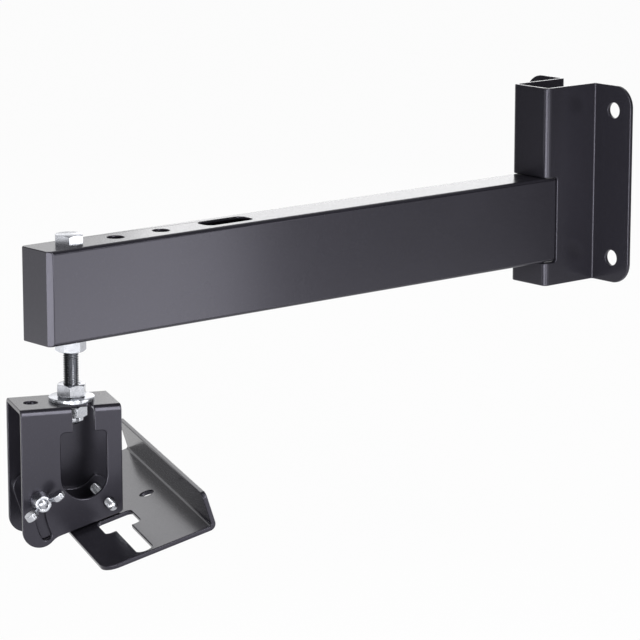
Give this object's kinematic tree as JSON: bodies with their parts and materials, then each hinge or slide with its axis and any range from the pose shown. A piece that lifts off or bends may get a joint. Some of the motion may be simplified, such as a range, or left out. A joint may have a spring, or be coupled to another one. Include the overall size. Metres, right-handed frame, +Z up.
{
  "type": "speaker wall bracket",
  "caption": "Long-reach wall bracket for a loudspeaker: folded wall plate, rectangular tube arm, and a yoke that swivels and tilts a slotted speaker plate.",
  "frame": {"origin": "centre of the four wall bolt holes, in the wall bracket's back face", "axes": "+Z up, the wall is the plane y = 0, and the arm runs out from the wall along -Y"},
  "size_m": [0.2107, 0.4979, 0.2514],
  "materials": {
    "powder_coat": "satin",
    "zinc_plate": "bright zinc"
  },
  "bodies": {
    "arm": {"wall_bracket": "powder_coat", "arm_tube": "powder_coat", "arm_end_plate": "powder_coat", "swivel_bolt": "zinc_plate", "arm_nut": "zinc_plate", "clamp_nut": "zinc_plate", "clamp_washer": "zinc_plate", "lock_nut": "zinc_plate"},
    "yoke": {"yoke": "powder_coat"},
    "speaker_plate": {"speaker_plate": "powder_coat", "tilt_cradle": "powder_coat", "pivot_bolt": "zinc_plate", "pivot_nut": "zinc_plate", "wing_bolt": "zinc_plate", "far_washer": "zinc_plate", "near_washer": "zinc_plate"},
    "wing_nut": {"wing_nut": "zinc_plate"}
  },
  "joints": [
    {"name": "swivel", "type": "hinge", "parent": "arm", "child": "yoke", "pos_m": [0, -0.4484, -0.0929], "axis": [0, 0, 1], "continuous": true},
    {"name": "tilt", "type": "hinge", "parent": "yoke", "child": "speaker_plate", "pos_m": [0.00689, -0.43177, -0.1555], "axis": [0.9239, -0.3827, 0], "range_deg": [0, 30]},
    {"name": "wing_nut_turn", "type": "hinge", "parent": "speaker_plate", "child": "wing_nut", "pos_m": [0.01497, -0.48281, -0.15087], "axis": [0.9239, -0.3827, 0], "continuous": true}
  ]
}
